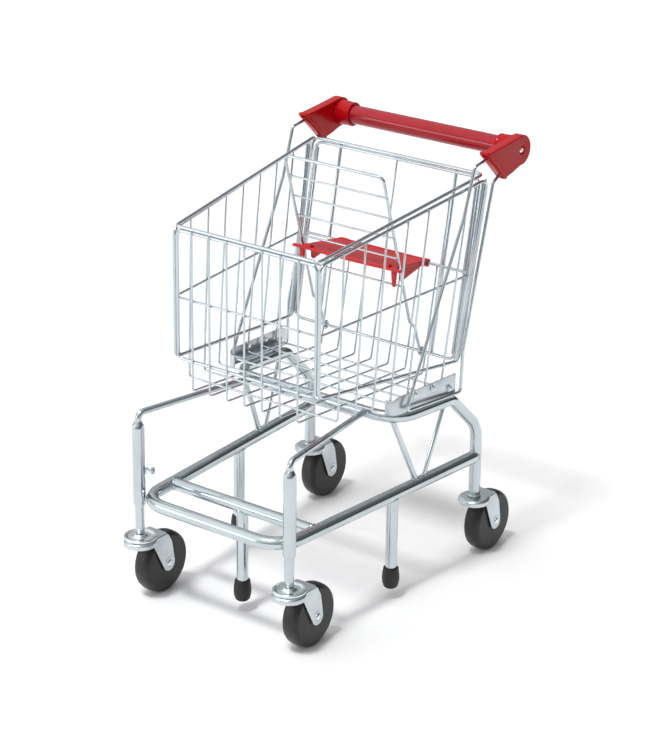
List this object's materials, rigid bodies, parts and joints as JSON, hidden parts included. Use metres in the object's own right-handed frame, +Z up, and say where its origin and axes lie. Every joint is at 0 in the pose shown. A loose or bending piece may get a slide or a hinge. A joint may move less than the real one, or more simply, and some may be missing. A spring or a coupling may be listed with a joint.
{
  "type": "toy shopping cart",
  "caption": "Child-size wire shopping cart: tapered mesh basket, folding doll seat, red push handle, bent tube chassis, swivel casters in front and fixed casters behind.",
  "frame": {"origin": "on the floor, under the middle of the cart", "axes": "+Z up, +Y from the nose of the basket towards the handle, +X to the right for someone at the nose looking towards the handle"},
  "size_m": [0.329, 0.4944, 0.5904],
  "materials": {
    "tube_steel": "bright zinc plate on bent tube",
    "wire_steel": "bright zinc plate on welded wire",
    "sheet_steel": "zinc-plated pressed sheet",
    "bright_steel": "polished fasteners and race cups",
    "red_plastic": "glossy moulded red plastic",
    "seat_plastic": "satin moulded red plastic",
    "wheel_rubber": "matte black solid rubber",
    "rubber": "matte black rubber"
  },
  "bodies": {
    "frame": {"lower_bow": "tube_steel", "cross_tube": "tube_steel", "upper_bow": "tube_steel", "prop_centre": "tube_steel", "foot_centre": "rubber", "prop_left": "tube_steel", "foot_left": "rubber", "post_left": "tube_steel", "stay_rod_left": "tube_steel", "brace_left": "tube_steel", "tie_left": "tube_steel", "bracket_left": "sheet_steel", "bracket_bolt_left_1": "bright_steel", "bracket_bolt_left_2": "bright_steel", "bracket_bolt_left_3": "bright_steel", "clamp_bolt_left": "bright_steel", "caster_cup_left": "bright_steel", "rear_fork_left": "sheet_steel", "rear_axle_left": "bright_steel", "basket_side_left": "wire_steel", "handle_stay_left": "wire_steel", "housing_left": "red_plastic", "handle_screw_left": "bright_steel", "prop_right": "tube_steel", "foot_right": "rubber", "post_right": "tube_steel", "stay_rod_right": "tube_steel", "brace_right": "tube_steel", "tie_right": "tube_steel", "bracket_right": "sheet_steel", "bracket_bolt_right_1": "bright_steel", "bracket_bolt_right_2": "bright_steel", "bracket_bolt_right_3": "bright_steel", "clamp_bolt_right": "bright_steel", "caster_cup_right": "bright_steel", "rear_fork_right": "sheet_steel", "rear_axle_right": "bright_steel", "basket_side_right": "wire_steel", "handle_stay_right": "wire_steel", "housing_right": "red_plastic", "handle_screw_right": "bright_steel", "basket_rim": "wire_steel", "basket_nose": "wire_steel", "basket_tail": "wire_steel", "basket_floor": "wire_steel", "handle_tube": "red_plastic"},
    "swivel_left": {"front_fork_left": "sheet_steel", "front_axle_left": "bright_steel"},
    "wheel_front_left": {"front_wheel_left": "wheel_rubber"},
    "wheel_rear_left": {"rear_wheel_left": "wheel_rubber"},
    "swivel_right": {"front_fork_right": "sheet_steel", "front_axle_right": "bright_steel"},
    "wheel_front_right": {"front_wheel_right": "wheel_rubber"},
    "wheel_rear_right": {"rear_wheel_right": "wheel_rubber"},
    "backrest": {"seat_backrest": "wire_steel"},
    "seat": {"seat_panel": "seat_plastic"}
  },
  "joints": [
    {"name": "swivel_turn_left", "type": "hinge", "parent": "frame", "child": "swivel_left", "pos_m": [-0.1247, -0.22524, 0.092], "axis": [0, 0, 1], "continuous": true},
    {"name": "front_wheel_spin_left", "type": "hinge", "parent": "swivel_left", "child": "wheel_front_left", "pos_m": [-0.1247, -0.18524, 0.043], "axis": [1, 0, 0], "continuous": true},
    {"name": "rear_wheel_spin_left", "type": "hinge", "parent": "frame", "child": "wheel_rear_left", "pos_m": [-0.1425, 0.19676, 0.043], "axis": [1, 0, 0], "continuous": true},
    {"name": "swivel_turn_right", "type": "hinge", "parent": "frame", "child": "swivel_right", "pos_m": [0.1247, -0.22524, 0.092], "axis": [0, 0, 1], "continuous": true},
    {"name": "front_wheel_spin_right", "type": "hinge", "parent": "swivel_right", "child": "wheel_front_right", "pos_m": [0.1247, -0.18524, 0.043], "axis": [1, 0, 0], "continuous": true},
    {"name": "rear_wheel_spin_right", "type": "hinge", "parent": "frame", "child": "wheel_rear_right", "pos_m": [0.1425, 0.19676, 0.043], "axis": [1, 0, 0], "continuous": true},
    {"name": "backrest_fold", "type": "hinge", "parent": "frame", "child": "backrest", "pos_m": [0, 0.11476, 0.302], "axis": [-1, 0, 0], "range_deg": [0, 26]},
    {"name": "seat_fold", "type": "hinge", "parent": "frame", "child": "seat", "pos_m": [0, 0.13662, 0.4194], "axis": [-1, 0, 0], "range_deg": [0, 46.8]}
  ],
  "couplings": [
    {"joint": "seat_fold", "follows": "backrest_fold", "ratio": 1.8}
  ]
}
